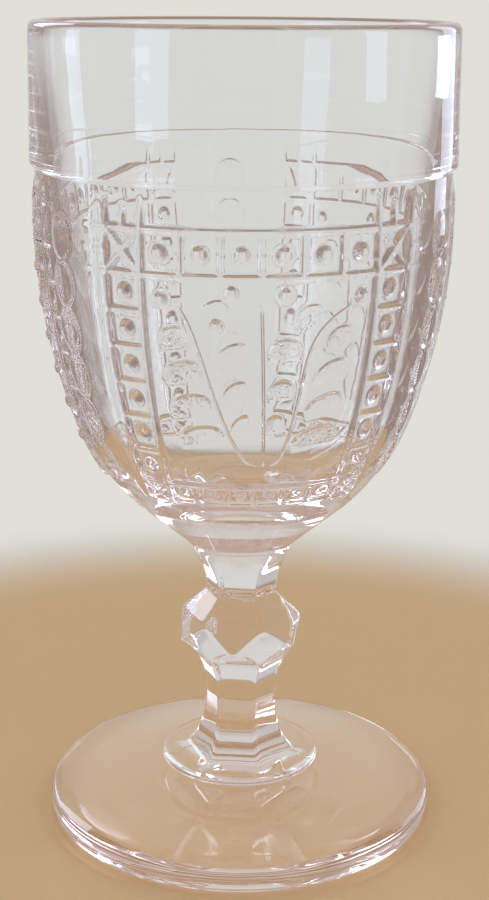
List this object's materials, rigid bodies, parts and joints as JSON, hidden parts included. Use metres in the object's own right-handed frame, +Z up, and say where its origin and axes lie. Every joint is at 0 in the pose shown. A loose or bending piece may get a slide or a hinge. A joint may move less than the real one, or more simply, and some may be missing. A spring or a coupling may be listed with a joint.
{
  "type": "water goblet",
  "caption": "Pressed glass water goblet: egg-shaped panelled bowl under a plain drinking band, hexagonal stem with a faceted knop, round spreading foot; stands on its foot and holds a drink.",
  "frame": {"origin": "centre of the ring on which the foot stands", "axes": "+Z up along the goblet's axis from foot to rim; -Y faces the middle of the front panel of the bowl"},
  "size_m": [0.0772, 0.0772, 0.152],
  "materials": {
    "pressed_glass": "fire-polished clear pressed glass with a faint pinkish lavender tint"
  },
  "bodies": {
    "root": {"bowl": "pressed_glass", "upper_stem": "pressed_glass", "knop": "pressed_glass", "lower_stem": "pressed_glass", "foot": "pressed_glass"}
  },
  "joints": []
}
